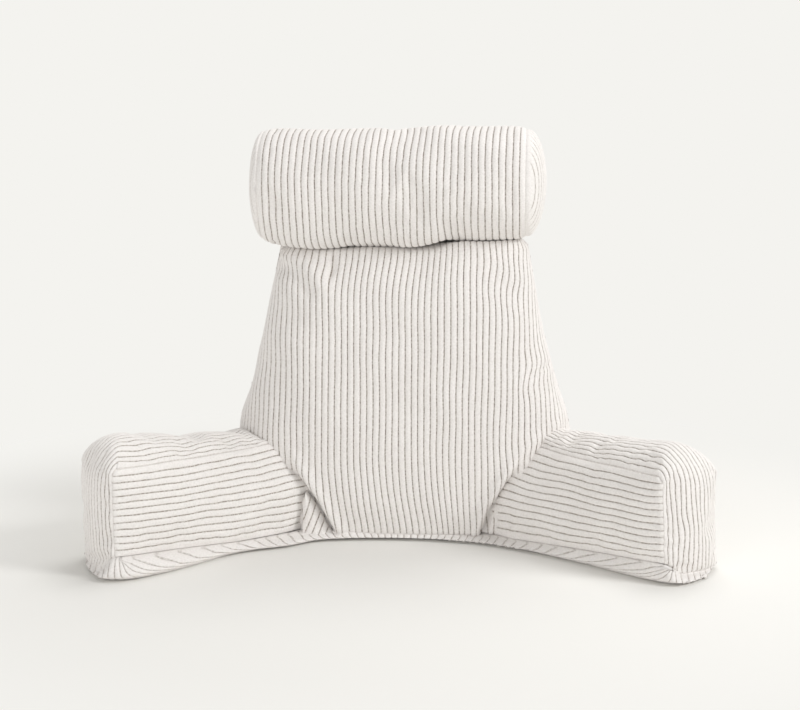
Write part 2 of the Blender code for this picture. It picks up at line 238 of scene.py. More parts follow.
# %% [markdown]
# Each sewn piece is a stack of closed rings, one ring for each place across its wales. A coarse
# stack, with a ring at every groove, can be stuffed by the cloth simulation. A spline then
# refines it to the eight rings a wale that a soft round rib needs, closer beside the groove.
# Real wales never run quite straight, so each point of a ring may slip a little sideways.

# %% Stacks of rings: refine and measure them
WALE_STEPS = np.array((0.0, 0.06, 0.14, 0.28, 0.50, 0.72, 0.86, 0.94))


def fine_places(wales):
    """Where the fine rings lie, counted in wales."""
    return np.append((np.arange(wales)[:, None] + WALE_STEPS).ravel(), wales)


def spline_weights(places):
    """The four rows that each place reads, and the Catmull-Rom weights that it gives them."""
    start = np.floor(places).astype(int)
    t = places - start
    weights = (
        0.5 * (-t + 2 * t**2 - t**3),
        0.5 * (2 - 5 * t**2 + 3 * t**3),
        0.5 * (t + 4 * t**2 - 3 * t**3),
        0.5 * (-(t**2) + t**3),
    )
    return start, weights


def refine_rings(stack, per_point):
    """The stack with per_point points on each ring for every one of its own."""
    points = stack.shape[1]
    start, weights = spline_weights(np.arange(points * per_point) / per_point)
    found = 0.0
    for step in range(4):
        near = stack[:, (start + step - 1) % points]
        found = found + weights[step][None, :, None] * near
    return found


def refine_rows(stack, places):
    """The stack read at places, which hold a row for every point of every new ring."""
    last = len(stack) - 1
    columns = np.arange(stack.shape[1])[None, :]
    start, weights = spline_weights(np.clip(places, 0.0, last - 1e-9))
    found = 0.0
    for step in range(4):
        row = start + step - 1
        point = stack[np.clip(row, 0, last), columns]
        before = 2.0 * stack[0] - stack[1]
        after = 2.0 * stack[last] - stack[last - 1]
        point = np.where((row < 0)[..., None], before[None], point)
        point = np.where((row > last)[..., None], after[None], point)
        found = found + weights[step][..., None] * point
    return found


def unit(vectors):
    """The vectors at a length of 1."""
    return vectors / np.maximum(np.linalg.norm(vectors, axis=-1, keepdims=True), 1e-12)


def outward(stack):
    """Outward directions at every point of a stack."""
    around = np.roll(stack, -1, axis=1) - np.roll(stack, 1, axis=1)
    normals = unit(np.cross(around, np.gradient(stack, axis=0)))
    middle = stack.mean(axis=1, keepdims=True)
    return normals * np.sign((normals * (stack - middle)).sum())


def ripple(points, size, seed, waves=14):
    """A smooth random wave of about the given size, about -1 to 1, at points in space."""
    random = np.random.default_rng(seed)
    directions = unit(random.normal(size=(waves, 3))) * (math.pi / size)
    phases = random.uniform(0.0, 2.0 * math.pi, waves)
    return np.cos(points @ directions.T + phases).sum(-1) / math.sqrt(waves)


print("fine rings of one wale:", fine_places(1).tolist())

# %% [markdown]
# Blender wants a mesh whose faces all point outwards. The rings may run either way round, so
# the signed volume says whether to turn every face over. Both end rings are zipped shut.

# %% A mesh from a stack
def stack_faces(rings, points, turn):
    """Quads round the rings, and both ends zipped shut. turn is a ring's point at its far side."""
    low = np.arange(rings - 1)[:, None] * points
    step = np.arange(points)[None, :]
    after = (step + 1) % points
    quads = np.stack((low + step, low + after, low + points + after, low + points + step), -1)
    faces = quads.reshape(-1, 4).tolist()
    upper = list(range(turn + 1))
    lower = list(range(points - 1, turn, -1))
    for first, flipped in ((0, True), ((rings - 1) * points, False)):
        a, b = 0, 0
        while a < len(upper) - 1 or b < len(lower) - 1:
            step_up = (a + 1) * (len(lower) - 1) <= (b + 1) * (len(upper) - 1)
            if (step_up and a < len(upper) - 1) or b == len(lower) - 1:
                face = (first + upper[a], first + upper[a + 1], first + lower[b])
                a += 1
            else:
                face = (first + upper[a], first + lower[b + 1], first + lower[b])
                b += 1
            faces.append(face[::-1] if flipped else face)
    return faces


def mesh_from_stack(name, stack, turn):
    """A closed mesh of the stack, with its faces outwards."""
    rings, points = stack.shape[:2]
    mesh = bpy.data.meshes.new(name)
    mesh.from_pydata(stack.reshape(-1, 3).tolist(), [], stack_faces(rings, points, turn))
    mesh.calc_loop_triangles()
    corners = np.empty(len(mesh.loop_triangles) * 3, int)
    mesh.loop_triangles.foreach_get("vertices", corners)
    triangles = (stack.reshape(-1, 3) - stack.mean((0, 1)))[corners.reshape(-1, 3)]
    if np.linalg.det(triangles).sum() < 0:
        mesh.flip_normals()
    mesh.shade_smooth()
    return mesh


def place_in_scene(name, mesh):
    """An object for the mesh, at the origin."""
    thing = bpy.data.objects.new(name, mesh)
    bpy.context.scene.collection.objects.link(thing)
    return thing


print("faces of three rings of eight points:", len(stack_faces(3, 8, 4)))

# %% [markdown]
# The filling presses the cover outwards, and the cover is cut a little larger than the filling,
# so it buckles softly beside its seams. Blender's cloth simulation does the same: pressure
# blows up the coarse mesh, a slightly negative shrink factor gives it spare cloth, and the
# seams are pinned. No point may travel further than a cap, so every piece keeps its size.

# %% Stuff a coarse stack
STUFFING_FRAMES = 18
START_WAVES = 0.03
START_LIFT = 0.0006
print("the simulation is skipped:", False)


def pins(stack, first, last):
    """Pins on both end rings, on each ring's first points and on those from last on."""
    pinned = np.zeros(stack.shape[:2])
    pinned[[0, -1]] = 1.0
    pinned[:, :first] = 1.0
    pinned[:, last:] = 1.0
    return pinned


def stuffed(name, stack, turn, pinned, spare=0.03, cap=0.005, seed=1):
    """The stack as its filling leaves it. pinned is 1 at a seam and 0 where the cloth is free."""
    rings, points = stack.shape[:2]
    pinned = np.broadcast_to(pinned, (rings, points))
    lift = ripple(stack, START_WAVES, seed) * START_LIFT * (1.0 - pinned)
    start = stack + outward(stack) * lift[..., None]
    thing = place_in_scene(name + "_filling", mesh_from_stack(name + "_filling", start, turn))
    group = thing.vertex_groups.new(name="seams")
    for index, weight in enumerate(pinned.reshape(-1)):
        if weight > 0.0:
            group.add([index], float(weight), "REPLACE")
    cloth = thing.modifiers.new("filling", "CLOTH")
    settings = cloth.settings
    settings.quality = 6
    settings.mass = 0.3
    settings.tension_stiffness = 15.0
    settings.compression_stiffness = 15.0
    settings.shear_stiffness = 5.0
    settings.bending_stiffness = 0.6
    settings.use_pressure = True
    settings.uniform_pressure_force = 1.0
    settings.shrink_min = -spare
    settings.vertex_group_mass = "seams"
    settings.effector_weights.gravity = 0.0
    cloth.point_cache.frame_start = 1
    cloth.point_cache.frame_end = STUFFING_FRAMES
    for frame_number in range(1, STUFFING_FRAMES + 1):
        bpy.context.scene.frame_set(frame_number)
    swollen = thing.evaluated_get(bpy.context.evaluated_depsgraph_get()).to_mesh()
    after = np.empty(rings * points * 3)
    swollen.vertices.foreach_get("co", after)
    moved = after.reshape(rings, points, 3) - stack
    length = np.linalg.norm(moved, axis=2, keepdims=True)
    moved = moved * cap * np.tanh(length / cap) / np.maximum(length, 1e-9)
    mesh = thing.data
    bpy.data.objects.remove(thing)
    bpy.data.meshes.remove(mesh)
    bpy.context.scene.frame_set(1)
    print(name, "stuffed: it would move up to", round(float(length.max()) * 1000, 1), "mm")
    return stack + moved * (1.0 - pinned[..., None])


# %% [markdown]
# Materials and Geometry Nodes trees both do sums on sockets. One small class wraps a socket, so
# that a sum can be written as Python does, and one method makes any other node. This keeps the
# maths of a finish as short on the page as it is on paper.

# %% Sums on sockets
class Wire:
    """A node's output socket that takes part in sums."""

    def __init__(self, desk, socket):
        self.desk = desk
        self.socket = socket

    def sum(self, operation, *parts):
        return self.desk.node("ShaderNodeMath", {"operation": operation}, dict(enumerate(parts)))

    def __add__(self, other):
        return self.sum("ADD", self, other)

    def __radd__(self, other):
        return self.sum("ADD", other, self)

    def __sub__(self, other):
        return self.sum("SUBTRACT", self, other)

    def __rsub__(self, other):
        return self.sum("SUBTRACT", other, self)

    def __mul__(self, other):
        return self.sum("MULTIPLY", self, other)

    def __rmul__(self, other):
        return self.sum("MULTIPLY", other, self)

    def __truediv__(self, other):
        return self.sum("DIVIDE", self, other)

    def __rtruediv__(self, other):
        return self.sum("DIVIDE", other, self)

    def __pow__(self, other):
        return self.sum("POWER", self, other)

    def __rpow__(self, other):
        return self.sum("POWER", other, self)

    def fraction(self):
        return self.sum("FRACT", self)

    def size(self):
        return self.sum("ABSOLUTE", self)


OBJECT_PLACE = 3
ATTRIBUTE_VALUE = 2
MIXED_COLOUR = 2


class Desk:
    """Where a tree's nodes are laid out. The numbers above are outputs that nodes know by place."""

    def __init__(self, tree):
        self.tree = tree

    def node(self, kind, settings=None, inputs=None, output=0):
        """A new node with its settings made and its sockets filled or linked, as a wire."""
        made = self.tree.nodes.new(kind)
        for name, value in (settings or {}).items():
            setattr(made, name, value)
        for key, value in (inputs or {}).items():
            if isinstance(value, Wire):
                self.tree.links.new(value.socket, made.inputs[key])
            else:
                made.inputs[key].default_value = value
        return Wire(self, made.outputs[output])

    def step(self, value, low, high):
        """A smooth step of value, 0 at low and 1 at high."""
        settings = {"interpolation_type": "SMOOTHSTEP"}
        return self.node("ShaderNodeMapRange", settings, {"Value": value, 1: low, 2: high})


print("named sums on a wire:", [name for name in vars(Wire) if "_" not in name])

# %% [markdown]
# Wales repeat over the whole cover, so a Geometry Nodes tree raises them. Each point of a piece
# knows its place across the wales, counted in wales, and how much of a wale shows there, which
# is less where a seam squeezes the pile. The tree draws each point in towards the groove.

# %% The tree that raises the wales
WALE_INPUTS = {"Wale Height": WALE_HEIGHT, "Unevenness": 0.22, "Plush": 0.0004, "Seed": 3.0}
UNEVENNESS_SIZE = 0.014
PLUSH_SIZE = 0.005
WALE_FLATNESS = 3.0
WALE_ROUNDING = 0.6


def wale_tree():
    """The tree: points drawn in towards each groove, a little unevenly."""
    tree = bpy.data.node_groups.new("corduroy wales", "GeometryNodeTree")
    face = tree.interface
    face.new_socket("Geometry", in_out="INPUT", socket_type="NodeSocketGeometry")
    for name, value in WALE_INPUTS.items():
        face.new_socket(name, in_out="INPUT", socket_type="NodeSocketFloat").default_value = value
    face.new_socket("Cloth", in_out="INPUT", socket_type="NodeSocketMaterial")
    face.new_socket("Geometry", in_out="OUTPUT", socket_type="NodeSocketGeometry")
    desk = Desk(tree)
    given = tree.nodes.new("NodeGroupInput")
    shape, height, unevenness, plush, seed, cloth = (Wire(desk, given.outputs[i]) for i in range(6))
    wale = desk.node("GeometryNodeInputNamedAttribute", {"data_type": "FLOAT"}, {"Name": "wale"})
    rib = desk.node("GeometryNodeInputNamedAttribute", {"data_type": "FLOAT"}, {"Name": "rib"})
    place = desk.node("GeometryNodeInputPosition")

    def noise(size, w):
        inputs = {"Vector": place, "W": w, "Scale": 1.0 / size, "Detail": 1.0}
        return desk.node("ShaderNodeTexNoise", {"noise_dimensions": "4D"}, inputs) - 0.5

    across = (wale.fraction() * 2.0 - 1.0).size()
    profile = (1.0 - across**WALE_FLATNESS) ** WALE_ROUNDING
    lift = 1.0 + noise(UNEVENNESS_SIZE, seed) * unevenness * 2.0
    fluff = noise(PLUSH_SIZE, seed + 5.0) * plush * profile
    depth = (profile - 1.0) * rib * height * lift + fluff
    normal = desk.node("GeometryNodeInputNormal")
    offset = desk.node("ShaderNodeVectorMath", {"operation": "SCALE"}, {0: normal, "Scale": depth})
    raised = desk.node("GeometryNodeSetPosition", {}, {"Geometry": shape, "Offset": offset})
    real = desk.node("GeometryNodeRealizeInstances", {}, {"Geometry": raised})
    covered = desk.node("GeometryNodeSetMaterial", {}, {"Geometry": real, "Material": cloth})
    out = tree.nodes.new("NodeGroupOutput")
    tree.links.new(covered.socket, out.inputs[0])
    return tree


WALES = wale_tree()
print("nodes in the tree of wales:", len(WALES.nodes))

# %% [markdown]
# Corduroy is a plain ground weave with rows of cut pile stitched through it. From a step away
# the pile reads as soft, warm white velvet. Between two wales a thin dark line is painted: partly
# tiny dashes of the ground weave, and partly painted shade in the groove. The velvet's bright
# edge is the shader's sheen.

# %% The cloth
PILE_COLOURS = ((0.825, 0.795, 0.770, 1.0), (0.872, 0.846, 0.824, 1.0))
PILE_SHADE = (0.700, 0.668, 0.640, 1.0)
# The dark groove colour is partly the ground weave and partly painted shade in the grooves.
GROUND_AND_GROOVE_SHADE = (0.330, 0.285, 0.245, 1.0)
GROOVE_SPAN = (0.70, 0.95)
DASH_SIZE = 0.0024
TUFT_SIZE = 0.0022
TONE_SIZE = 0.03
CLOTH_FINISH = {
    "Roughness": 0.92,
    "Specular IOR Level": 0.15,
    "Sheen Weight": 0.35,
    "Sheen Roughness": 0.5,
    "Sheen Tint": (1.0, 0.97, 0.94, 1.0),
}


def corduroy_material():
    """White pile with soft tufts; in its grooves, painted shade broken by darker dashes of weave."""
    material = bpy.data.materials.new("corduroy")
    material.use_nodes = True
    tree = material.node_tree
    desk = Desk(tree)
    shader = tree.nodes["Principled BSDF"]
    place = desk.node("ShaderNodeTexCoord", output=OBJECT_PLACE)
    wale = desk.node("ShaderNodeAttribute", {"attribute_name": "wale"}, output=ATTRIBUTE_VALUE)
    rib = desk.node("ShaderNodeAttribute", {"attribute_name": "rib"}, output=ATTRIBUTE_VALUE)

    def noise(size, detail=2.0):
        inputs = {"Vector": place, "Scale": 1.0 / size, "Detail": detail}
        return desk.node("ShaderNodeTexNoise", {}, inputs)

    def blend(share, first, second):
        inputs = {"Factor": share, 6: first, 7: second}
        return desk.node("ShaderNodeMix", {"data_type": "RGBA"}, inputs, MIXED_COLOUR)

    across = (wale.fraction() * 2.0 - 1.0).size()
    groove = desk.step(across, *GROOVE_SPAN) * rib
    dashes = desk.step(noise(DASH_SIZE, 1.0), 0.42, 0.58)
    # Painted shade in each groove, broken by darker dashes of the ground weave.
    ground_and_shade = groove * (0.45 + dashes * 0.55)
    tone = blend(noise(TONE_SIZE), *PILE_COLOURS)
    mottled = blend(desk.step(noise(TUFT_SIZE), 0.35, 0.75) * 0.5, tone, PILE_SHADE)
    colour = blend(ground_and_shade * 0.95, mottled, GROUND_AND_GROOVE_SHADE)
    height = noise(0.0011, 3.0) * 0.6 + noise(0.0030) * 0.4
    bump = desk.node("ShaderNodeBump", {}, {"Height": height, "Strength": 0.45, "Distance": 0.0009})
    tree.links.new(colour.socket, shader.inputs["Base Color"])
    tree.links.new(bump.socket, shader.inputs["Normal"])
    for label, value in CLOTH_FINISH.items():
        shader.inputs[label].default_value = value
    return material


CORDUROY = corduroy_material()
print("nodes in the cloth:", len(CORDUROY.node_tree.nodes))

# %% [markdown]
# A crease is where the cover folds in because the filling has shifted. It is drawn as a short
# path on the piece, with a width and a depth, and the nearest points are pushed in or out. A
# kink is the same kind of path, but it shifts the wales sideways where the cloth is pulled.

# %% Creases
def distance_to_path(points, path):
    """How far each point lies from the path."""
    best = np.full(points.shape[:-1], np.inf)
    for start, end in zip(path[:-1], path[1:]):
        start, run = np.array(start), np.array(end) - np.array(start)
        share = np.clip(((points - start) @ run) / (run @ run), 0.0, 1.0)
        best = np.minimum(best, np.linalg.norm(points - start - share[..., None] * run, axis=-1))
    return best


def creased(stack, creases):
    """The stack with its points pushed in or out beside each crease."""
    normals = outward(stack)
    push = np.zeros(stack.shape[:2])
    for path, width, height in creases:
        push += height * np.exp(-((distance_to_path(stack, path) / width) ** 2))
    return stack + normals * push[..., None]


corner = np.array((0.3, 0.4, 0.0))
print("from a point to a path:", float(distance_to_path(corner, ((0.0, 0.0, 0.0), (0.0, 0.0, 1.0)))))

# %% [markdown]
# Every piece ends in the same way. Its stack is refined, its wales wander a little, and it is
# creased. Then all pieces sag together, through one smooth field, so their seams still meet,
# and the tree raises the wales. Each finished piece takes the place of its solid.

# %% From a coarse stack to a finished piece
SAG_WAVES = (
    # size of the waves, how far they move a point, seed
    (0.11, 0.0016, 700),
    (0.035, 0.0007, 710),
)
SAG_SHARES = np.array((0.5, 1.0, 1.0))
SAG_FADE = (0.004, 0.05)
WANDER_WAVES = (
    # size of the waves, share of the sideways slip, what is added to the seed
    (0.070, 0.60, 0),
    (0.026, 0.40, 100),
    (0.012, 0.35, 200),
)
STEADY_WALES = 1.5


def settled(points):
    """Points moved a little by one smooth field, less along x and not at all on the floor."""
    shift = np.zeros(points.shape)
    for axis in range(3):
        for size, far, seed in SAG_WAVES:
            shift[..., axis] += far * ripple(points, size, seed + axis)
    return points + shift * SAG_SHARES * fade(points[..., 2], *SAG_FADE)[..., None]


def spread(values, stack, places, per_point):
    """Values for a coarse stack's points, read at the places and points of the fine one."""
    rings, points = stack.shape[:2]
    values = np.broadcast_to(values, (rings, points))
    values = np.append(values, values[:, :1], 1)
    columns = np.arange(points * per_point) / per_point
    values = np.array([np.interp(columns, np.arange(points + 1), row) for row in values])
    return np.array([np.interp(places, np.arange(rings), column) for column in values.T]).T


def corduroy(name, stack, turn, rib, per_point=2, waver=0.12, creases=(), kinks=(), seed=1):
    """The stack as a finished object. rib says from 0 to 1 how much of a wale a point shows."""
    wales = len(stack) - 1
    fine = refine_rings(stack, per_point)
    places = fine_places(wales)
    share = np.clip(np.minimum(places, wales - places) / STEADY_WALES, 0.0, 1.0)[:, None]
    base = refine_rows(fine, np.repeat(places[:, None], fine.shape[1], 1))
    wander = sum(part * ripple(base, size, seed + more) for size, part, more in WANDER_WAVES)
    slip = wander * spread(waver, stack, places, per_point) * share
    for line, width, shift in kinks:
        slip += shift * share * np.exp(-((distance_to_path(base, line) / width) ** 2))
    fine = refine_rows(fine, places[:, None] + slip)
    rib = spread(rib, stack, places, per_point)
    return finished(name, fine, turn * per_point, places, rib, creases, seed)


def finished(name, fine, turn, places, rib, creases=(), seed=1):
    """A fine stack as an object: creased, settled, its wales raised by the tree."""
    fine = settled(creased(fine, creases)) - np.array((0.0, MIDDLE_Y, 0.0))
    mesh = mesh_from_stack(name, fine, turn)
    count = np.repeat(places[:, None], fine.shape[1], 1)
    for label, values in (("wale", count), ("rib", rib)):
        layer = mesh.attributes.new(label, "FLOAT", "POINT")
        layer.data.foreach_set("value", values.ravel().astype(np.float32))
    thing = place_in_scene(name, mesh)
    change = thing.modifiers.new("wales", "NODES")
    change.node_group = WALES
    inputs = [item for item in WALES.interface.items_tree if item.in_out == "INPUT"]
    sockets = {item.name: item.identifier for item in inputs}
    change[sockets["Seed"]] = float(seed)
    change[sockets["Cloth"]] = CORDUROY
    graph = bpy.context.evaluated_depsgraph_get()
    raised = bpy.data.meshes.new_from_object(thing.evaluated_get(graph))
    thing.modifiers.clear()
    thing.data = raised
    bpy.data.meshes.remove(mesh)
    raised.name = name
    raised.calc_loop_triangles()
    print(name, "triangles:", len(raised.loop_triangles))
    return thing


def belongs(thing, node):
    """Let the piece replace its solid, as corduroy over a filling."""
    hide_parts(node)
    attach(thing, "root")


def joined(name, *things):
    """Several sewn parts of one piece as one object."""
    with bpy.context.temp_override(active_object=things[0], selected_editable_objects=list(things)):
        bpy.ops.object.join()
    things[0].name = name
    return things[0]


print("a wale wanders by waves of", [size for size, part, more in WANDER_WAVES], "m")

# %% [markdown]
# The backrest's front and back are upright panels whose wales stay parallel while the sides
# lean in, so the slanted side seams cut the wales off. The filling rounds the front panel well
# back at its sides, and its seams lie out of sight. So a level slice is a rounded box, and each
# ring keeps its distance along the cloth from the middle line, as a woven wale does. The neck
# roll sags over the top edge, so the front panel ends lower there, just under the roll.

# %% The backrest's shape
SIDE_ROUNDNESS = 3.0
SIDE_SEAM_Y = (0.142, 0.124)
FRONT_POINTS, TOP_POINTS, BACK_POINTS, FOOT_POINTS = 36, 7, 24, 8
ROLL_SAG_PULL = 1.25
ROLL_SAG_FOOT = 0.32
SIDE_SEAM_HOLLOW = 0.0025
SIDE_SEAM_SHIFT = 0.0015
TOP_SWELL = 0.003
SWEEP = np.linspace(0.0, 0.5 * math.pi, 240)
heights = np.linspace(0.0, BACKREST_TOP, 120)


def between(pair, share):
    """The value at a share of the way from the foot's to the top's."""
    return pair[0] + (pair[1] - pair[0]) * share


def quarter(height, front):
    """Half of a level slice, from its middle to its side seam: across, depth, length of cloth."""
    share = height / BACKREST_TOP
    upright = 1.0 - abs(2.0 * share - 1.0) ** 4
    seam = between(SIDE_SEAM_Y, share)
    if front:
        reach = between(BACKREST_FRONT_Y, share) - BACKREST_FRONT_CROWN * upright - seam
    else:
        reach = between(BACKREST_BACK_Y, share) + BACKREST_BACK_CROWN * upright - seam
    half = float(smooth(BACKREST_HALF_WIDTHS, height)) + BACKREST_SIDE_BULGE
    xs = half * np.sin(SWEEP) ** (2.0 / SIDE_ROUNDNESS)
    ys = seam + reach * np.cos(SWEEP) ** (2.0 / SIDE_ROUNDNESS)
    run = np.concatenate(([0.0], np.cumsum(np.hypot(np.diff(xs), np.diff(ys)))))
    return xs, ys, run


FRONT_HALF = np.array([quarter(height, True)[2][-1] for height in heights])


def on_backrest(height, front, distance):
    """The point that lies a distance along the cloth from the backrest's middle line."""
    xs, ys, run = quarter(height, front)
    if not front:
        distance = distance * run[-1] / np.interp(height, heights, FRONT_HALF)
    return np.interp(distance, run, xs), np.interp(distance, run, ys), height


def roll_radius(x, turns):
    """The neck roll's radius round its axis, more where it sags over the backrest's edge."""
    sag = smooth(ROLL_SAG, x) * np.exp(-(((turns - ROLL_SAG_TURN) / ROLL_SAG_SPREAD) ** 2))
    return smooth(ROLL_LINE, x, 2) + sag


def off_roll(points):
    """Points with those inside the neck roll moved out, to lie just under its cover."""
    across = points[:, 1] - ROLL_AXIS_Y - points[:, 0] * ROLL_YAW
    rise = points[:, 2] - smooth(ROLL_LINE, points[:, 0], 1)
    turns = np.arctan2(rise, across) % (2.0 * math.pi)
    distance = np.hypot(across, rise)
    push = np.maximum(roll_radius(points[:, 0], turns) + ROLL_GAP - distance, 0.0) / distance
    return points + np.stack((0.0 * push, across * push, rise * push), 1)


def backrest_slice(distance):
    """The ring of one wale: up the front, over the top or the side seam, down the back."""
    length, way = abs(distance), math.copysign(1.0, distance)
    top = float(np.interp(-length, -FRONT_HALF, heights))
    at_side = float(length > FRONT_HALF[-1])
    upwards = np.linspace(BACKREST_FOOT, top, FRONT_POINTS)
    front = np.array([on_backrest(z, True, length) for z in upwards])
    sag = ROLL_SAG_PULL * smooth(ROLL_SAG, way * front[:, 0])
    front[:, 2] -= sag * fade(front[:, 2], ROLL_SAG_FOOT, BACKREST_TOP)
    downwards = np.linspace(top, BACKREST_FOOT, BACK_POINTS)
    back = np.array([on_backrest(z, False, length) for z in downwards])
    across = np.linspace(-1.0, 1.0, TOP_POINTS + 2)[1:-1, None]
    over = front[-1] + (back[0] - front[-1]) * 0.5 * (1.0 + across)
    hollow = 1.0 - across[:, 0] ** 2
    over[:, 0] -= SIDE_SEAM_HOLLOW * hollow * at_side
    over[:, 1] += SIDE_SEAM_SHIFT * across[:, 0] * at_side
    over[:, 2] += TOP_SWELL * hollow * (1.0 - at_side)
    share = np.linspace(0.0, 1.0, FOOT_POINTS + 2)[1:-1, None]
    foot = back[-1] + (front[0] - back[-1]) * share
    ring = np.concatenate((front, over, back, foot))
    return off_roll(ring * np.array((way, 1.0, 1.0)))


reach = float(np.interp(0.016, heights, FRONT_HALF))
wales = 2 * int(reach / WALE_PITCH) + 1
reach = 0.5 * wales * WALE_PITCH
backrest_stack = np.array([backrest_slice(s) for s in np.linspace(-reach, reach, wales + 1)])
print("backrest: wales", wales, "and points on a ring", backrest_stack.shape[1])

# %% [markdown]
# The filling swells the panels between their seams, so the seams and the hidden foot are
# pinned and the rest is free. The few points over the top edge may move a little.

# %% Stuff the backrest
points = backrest_stack.shape[1]
over = slice(FRONT_POINTS, FRONT_POINTS + TOP_POINTS)
pinned = pins(backrest_stack, 2, points - FOOT_POINTS - 1)
pinned[:, [FRONT_POINTS - 1, FRONT_POINTS + TOP_POINTS]] = 1.0
pinned[1:-1, over] = 0.8
BACKREST_TURN = FRONT_POINTS + TOP_POINTS // 2
backrest_stack = stuffed("backrest", backrest_stack, BACKREST_TURN, pinned, cap=0.005, seed=2)
rib = np.ones(points)
rib[over] = 0.4
rib[-FOOT_POINTS:] = 0.0
edge = np.minimum(np.arange(wales + 1), wales - np.arange(wales + 1))[:, None]
waver = 0.03 + 0.22 * (1.0 - fade(edge, 3.0, 14.0)) + np.zeros(points)

# %% [markdown]
# Where the arms and the roll press on the filling, the real cover folds in and its wales
# wander. These folds and kinks are drawn from short paths, because a simulation would put them
# anywhere. Beside each arm a deep crease has a soft ridge next to it.

# %% Fold the backrest and raise its wales
RIDGE_SHIFT = (0.010, 0.005)
BACKREST_CREASES = (
    # path, width and height of a fold, negative where the cloth dips
    (
        ((-0.170, 0.100, 0.358), (-0.150, 0.085, 0.354), (-0.134, 0.074, 0.343), (-0.122, 0.068, 0.327)),
        0.011,
        -0.0045,
    ),
    (
        ((-0.150, 0.090, 0.374), (-0.130, 0.078, 0.365), (-0.114, 0.070, 0.350), (-0.104, 0.063, 0.333)),
        0.010,
        0.0030,
    ),
    (((-0.0890, 0.080, 0.392), (-0.0935, 0.072, 0.352)), 0.0060, -0.0060),
    (((0.118, 0.072, 0.352), (0.134, 0.071, 0.3376), (0.150, 0.076, 0.324)), 0.008, -0.0020),
    (((0.168, 0.064, 0.214), (0.183, 0.077, 0.2228), (0.198, 0.096, 0.227)), 0.0035, -0.0030),
)
for line in ARM_CREASES.values():
    away = math.copysign(1.0, line[0][0])
    ridge = tuple((x - RIDGE_SHIFT[0] * away, y, z + RIDGE_SHIFT[1]) for x, y, z in line)
    BACKREST_CREASES += ((line, 0.0050, -0.0130), (ridge, 0.0080, 0.0080))
BACKREST_KINKS = (
    # path, width and sideways shift in wales
    (((0.118, 0.070, 0.366), (0.150, 0.076, 0.344)), 0.014, 0.28),
    (((0.112, 0.068, 0.332), (0.144, 0.074, 0.312)), 0.014, -0.22),
    (((-0.070, 0.078, 0.392), (0.005, 0.078, 0.392)), 0.048, 0.90),
    (((0.168, 0.064, 0.232), (0.198, 0.096, 0.243)), 0.012, 0.35),
    (((0.166, 0.062, 0.200), (0.202, 0.092, 0.210)), 0.012, -0.40),
    (((-0.160, 0.094, 0.376), (-0.112, 0.068, 0.345)), 0.014, -0.35),
    (((-0.130, 0.034, 0.000), (0.020, 0.034, 0.000)), 0.060, 1.45),
)
backrest = corduroy(
    "backrest_cover",
    backrest_stack,
    BACKREST_TURN,
    rib,
    waver=waver,
    creases=BACKREST_CREASES,
    kinks=BACKREST_KINKS,
    seed=2,
)

# %% [markdown]
# Low down, beside each arm, the front panel folds over and turns under the arm. The corner of
# cloth outside the fold lies on the bias, so its wales lean. Each is a small padded corner whose
# rings are cut along those leaning wales, and it is joined to the backrest's cover.

# %% The corner folds
CORNER_FOLDS = {
    # height, x and y beside the arm's panel, x and y in the crease
    "left": (
        (0.008, -0.1300, 0.0240, -0.0890, 0.0330),
        (0.020, -0.1300, 0.0255, -0.0975, 0.0330),
        (0.034, -0.1300, 0.0270, -0.1045, 0.0330),
        (0.050, -0.1295, 0.0285, -0.1136, 0.0330),
        (0.068, -0.1285, 0.0290, -0.1265, 0.0330),
    ),
    "right": (
        (0.004, 0.1220, 0.0240, 0.1050, 0.0330),
        (0.020, 0.1225, 0.0255, 0.1080, 0.0330),
        (0.034, 0.1245, 0.0270, 0.1140, 0.0330),
        (0.058, 0.1320, 0.0290, 0.1300, 0.0330),
    ),
}
FOLD_BULGE = 0.0060
FOLD_THICKNESS = 0.006
FOLD_POINTS = 12


def fold_ring(table, lean, start):
    """One leaning wale of a corner fold: up its face and down behind it."""
    zs = np.linspace(table[0][0], table[-1][0], 160)
    xs = start + lean * zs
    arm, crease = smooth(table, zs, 1), smooth(table, zs, 3)
    across = (xs - arm) / (crease - arm)
    there = np.nonzero((across >= 0.0) & (across <= 1.0))[0]
    pick = np.linspace(there[0], there[-1], FOLD_POINTS).astype(int)
    across = across[pick]
    ys = smooth(table, zs[pick], 2) * (1.0 - across) + smooth(table, zs[pick], 4) * across
    face = ys - FOLD_BULGE * (4.0 * across * (1.0 - across)) ** 0.6
    front = np.stack((xs[pick], face, zs[pick]), 1)
    behind = np.stack((xs[pick], ys + FOLD_THICKNESS, zs[pick]), 1)[::-2]
    return np.concatenate((front, behind))


def corner_fold(side, lean, low, high, wales, seed):
    """A corner of cloth whose wales start on the floor between low and high."""
    starts = np.linspace(low, high, wales + 1)
    stack = np.array([fold_ring(CORNER_FOLDS[side], lean, start) for start in starts])
    rib = np.zeros(stack.shape[1])
    rib[:FOLD_POINTS] = 1.0
    return corduroy("backrest_fold_" + side, stack, FOLD_POINTS - 1, rib, waver=0.05, seed=seed)


folds = [
    corner_fold("left", 0.37, -0.1500, -0.0930, 6, 61),
    corner_fold("right", 0.05, 0.1060, 0.1215, 2, 62),
]
backrest = joined("backrest_cover", backrest, *folds)
belongs(backrest, "backrest")

# %% [markdown]
# Each arm is a boxy cushion. A long gusset runs over its top and turns down its end, and an
# inner and an outer panel close its sides. The arm's eight corners give the filled block, and
# crowns over it give the soft swell between the seams.

# %% The arms' shape
ARM_TOP_STEPS, ARM_END_STEPS = 30, 13
ARM_CORNER_TURNS = np.radians(np.linspace(12.0, 78.0, 7))
ARM_END_TOP = 0.77
ARM_GUSSET_SWELL = 0.024
ARM_FOOT = (0.99, 0.93, 0.84, 0.72, 0.58, 0.44, 0.30, 0.18, 0.08, 0.01)


